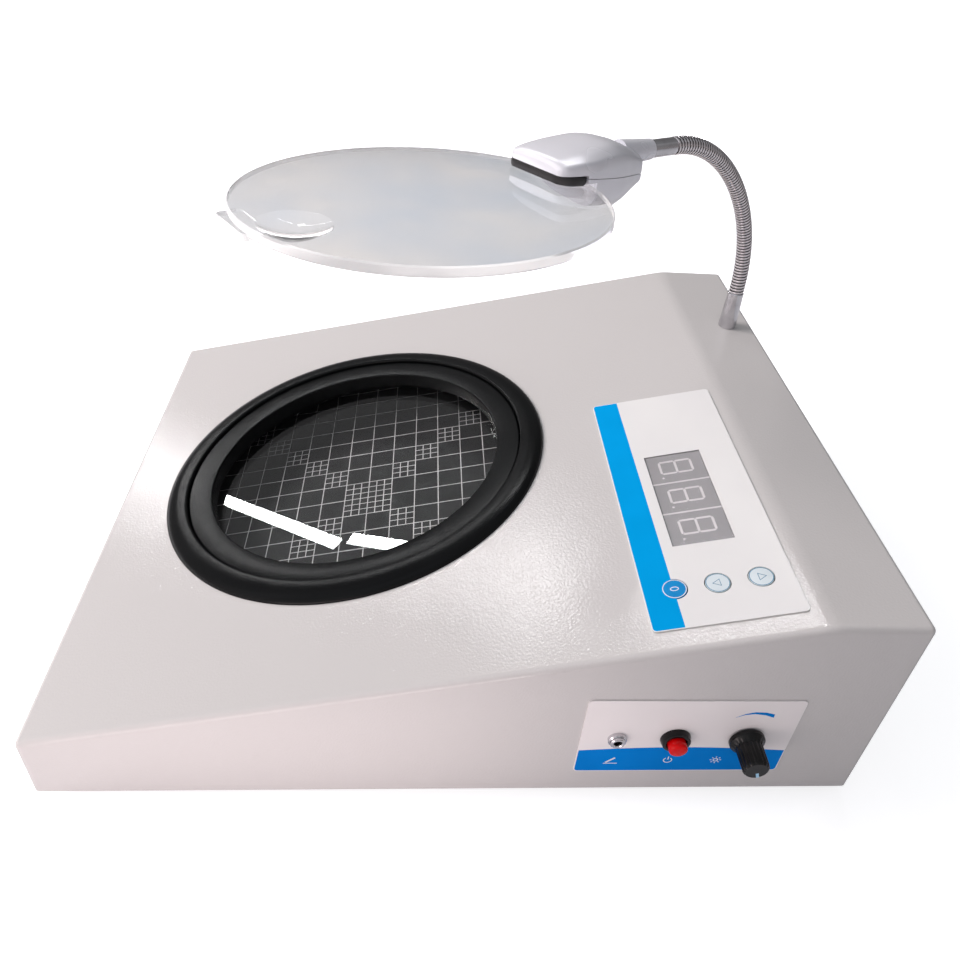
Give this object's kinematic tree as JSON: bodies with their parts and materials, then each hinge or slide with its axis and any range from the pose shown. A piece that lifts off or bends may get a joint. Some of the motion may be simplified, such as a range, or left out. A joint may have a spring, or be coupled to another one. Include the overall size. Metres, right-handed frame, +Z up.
{
  "type": "colony counter",
  "caption": "Wedge-shaped bench colony counter with a lit grid well, digit display panel, side controls and a round magnifier on a bending neck.",
  "frame": {"origin": "on the bench, midway between the four feet", "axes": "+Z up, the user sits on the -Y side, +X to the user's right"},
  "size_m": [0.242, 0.2715, 0.1832],
  "materials": {
    "case_paint": "fine textured light grey powder coat",
    "base_paint": "light grey paint",
    "foot_rubber": "black rubber",
    "screw_steel": "zinc plated steel",
    "ring_plastic": "satin black moulding",
    "well_glass": "clear float glass",
    "grid_print": "black plate with a pale printed grid",
    "housing_black": "moulded black drum",
    "board_green": "green circuit board",
    "lamp_chip": "lamp chip",
    "panel_film": "printed polyester film",
    "key_blue": "printed blue key",
    "switch_black": "black moulding",
    "display_face": "grey display face",
    "red_cap": "red moulding",
    "pot_metal": "plated can",
    "neck_chrome": "bright chrome",
    "head_silver": "silver painted moulding",
    "strip_black": "soft black strip",
    "lens_acrylic": "clear acrylic"
  },
  "bodies": {
    "case": {"case_shell": "case_paint", "base_plate": "base_paint", "base_screws": "screw_steel", "feet": "foot_rubber", "foot_screws": "screw_steel", "bezel_ring": "ring_plastic", "dish_ring": "ring_plastic", "glass_plate": "well_glass", "grid_plate": "grid_print", "lamp_housing": "housing_black", "led_board": "board_green", "led_chips": "lamp_chip", "led_posts": "screw_steel", "counter_panel": "panel_film", "tact_switches": "switch_black", "display_window": "display_face", "display_digits": "display_face", "counter_board": "board_green", "board_posts": "screw_steel", "side_panel": "panel_film", "pen_jack": "neck_chrome", "pen_jack_nut": "neck_chrome", "push_switch": "switch_black", "push_switch_nut": "screw_steel", "potentiometer": "pot_metal", "pot_nut": "screw_steel", "power_inlet": "switch_black", "power_inlet_nut": "screw_steel", "neck_ferrule": "neck_chrome", "neck_nut": "screw_steel"},
    "key_reset": {"key_reset": "key_blue"},
    "key_down": {"key_down": "panel_film"},
    "key_up": {"key_up": "panel_film"},
    "push_cap": {"push_cap": "red_cap"},
    "knob": {"pot_shaft": "screw_steel", "knob": "switch_black"},
    "neck_1": {"neck_link_1": "neck_chrome"},
    "neck_2": {"neck_link_2": "neck_chrome"},
    "neck_3": {"neck_link_3": "neck_chrome"},
    "neck_4": {"neck_link_4": "neck_chrome"},
    "neck_5": {"neck_link_5": "neck_chrome"},
    "neck_6": {"neck_link_6": "neck_chrome"},
    "neck_7": {"neck_link_7": "neck_chrome"},
    "neck_8": {"neck_link_8": "neck_chrome"},
    "neck_9": {"neck_link_9": "neck_chrome"},
    "head": {"neck_link_10": "neck_chrome", "head_ferrule": "neck_chrome", "head_upper": "head_silver", "head_lower": "head_silver", "head_strip": "strip_black", "head_screws": "screw_steel", "lens": "lens_acrylic"}
  },
  "joints": [
    {"name": "neck_sway", "type": "hinge", "parent": "case", "child": "neck_1", "pos_m": [-0.0605, 0.123, 0.10375], "axis": [0.5358, -0.8443, 0], "range_deg": [-6, 6]},
    {"name": "neck_bend", "type": "hinge", "parent": "neck_1", "child": "neck_2", "pos_m": [-0.06003, 0.12226, 0.11487], "axis": [0.8443, 0.5358, 0], "range_deg": [-12, 5]},
    {"name": "neck_sway_2", "type": "hinge", "parent": "neck_2", "child": "neck_3", "pos_m": [-0.05865, 0.12008, 0.12572], "axis": [0.5104, -0.8042, -0.3045], "range_deg": [-6, 6]},
    {"name": "neck_bend_2", "type": "hinge", "parent": "neck_3", "child": "neck_4", "pos_m": [-0.05642, 0.11658, 0.13603], "axis": [0.8443, 0.5358, 0], "range_deg": [-12, 5]},
    {"name": "neck_sway_3", "type": "hinge", "parent": "neck_4", "child": "neck_5", "pos_m": [-0.05348, 0.11194, 0.14554], "axis": [0.4445, -0.7005, -0.5583], "range_deg": [-6, 6]},
    {"name": "neck_bend_3", "type": "hinge", "parent": "neck_5", "child": "neck_6", "pos_m": [-0.04996, 0.10639, 0.15402], "axis": [0.8443, 0.5358, 0], "range_deg": [-12, 5]},
    {"name": "neck_sway_4", "type": "hinge", "parent": "neck_6", "child": "neck_7", "pos_m": [-0.04599, 0.10014, 0.16127], "axis": [0.3469, -0.5467, -0.7621], "range_deg": [-6, 6]},
    {"name": "neck_bend_4", "type": "hinge", "parent": "neck_7", "child": "neck_8", "pos_m": [-0.04172, 0.0934, 0.1671], "axis": [0.8443, 0.5358, 0], "range_deg": [-12, 5]},
    {"name": "neck_sway_5", "type": "hinge", "parent": "neck_8", "child": "neck_9", "pos_m": [-0.03725, 0.08636, 0.17137], "axis": [0.2022, -0.3185, -0.9261], "range_deg": [-6, 6]},
    {"name": "neck_bend_5", "type": "hinge", "parent": "neck_9", "child": "head", "pos_m": [-0.03266, 0.07913, 0.17397], "axis": [0.8443, 0.5358, 0], "range_deg": [-12, 5]},
    {"name": "key_reset_press", "type": "slide", "parent": "case", "child": "key_reset", "axis": [0, 0.2282, -0.9736], "range_m": [0, 0.0004], "stiffness_N_per_m": 2000},
    {"name": "key_down_press", "type": "slide", "parent": "case", "child": "key_down", "axis": [0, 0.2282, -0.9736], "range_m": [0, 0.0004], "stiffness_N_per_m": 2000},
    {"name": "key_up_press", "type": "slide", "parent": "case", "child": "key_up", "axis": [0, 0.2282, -0.9736], "range_m": [0, 0.0004], "stiffness_N_per_m": 2000},
    {"name": "push_cap_press", "type": "slide", "parent": "case", "child": "push_cap", "axis": [-1, 0, 0], "range_m": [0, 0.0025], "stiffness_N_per_m": 800},
    {"name": "knob_turn", "type": "hinge", "parent": "case", "child": "knob", "pos_m": [0.115, 0.0913, 0.0344], "axis": [1, 0, 0], "range_deg": [-150, 150]}
  ],
  "couplings": [
    {"joint": "neck_sway_2", "follows": "neck_sway", "ratio": 1},
    {"joint": "neck_bend_2", "follows": "neck_bend", "ratio": 1},
    {"joint": "neck_sway_3", "follows": "neck_sway", "ratio": 1},
    {"joint": "neck_bend_3", "follows": "neck_bend", "ratio": 1},
    {"joint": "neck_sway_4", "follows": "neck_sway", "ratio": 1},
    {"joint": "neck_bend_4", "follows": "neck_bend", "ratio": 1},
    {"joint": "neck_sway_5", "follows": "neck_sway", "ratio": 1},
    {"joint": "neck_bend_5", "follows": "neck_bend", "ratio": 1}
  ]
}
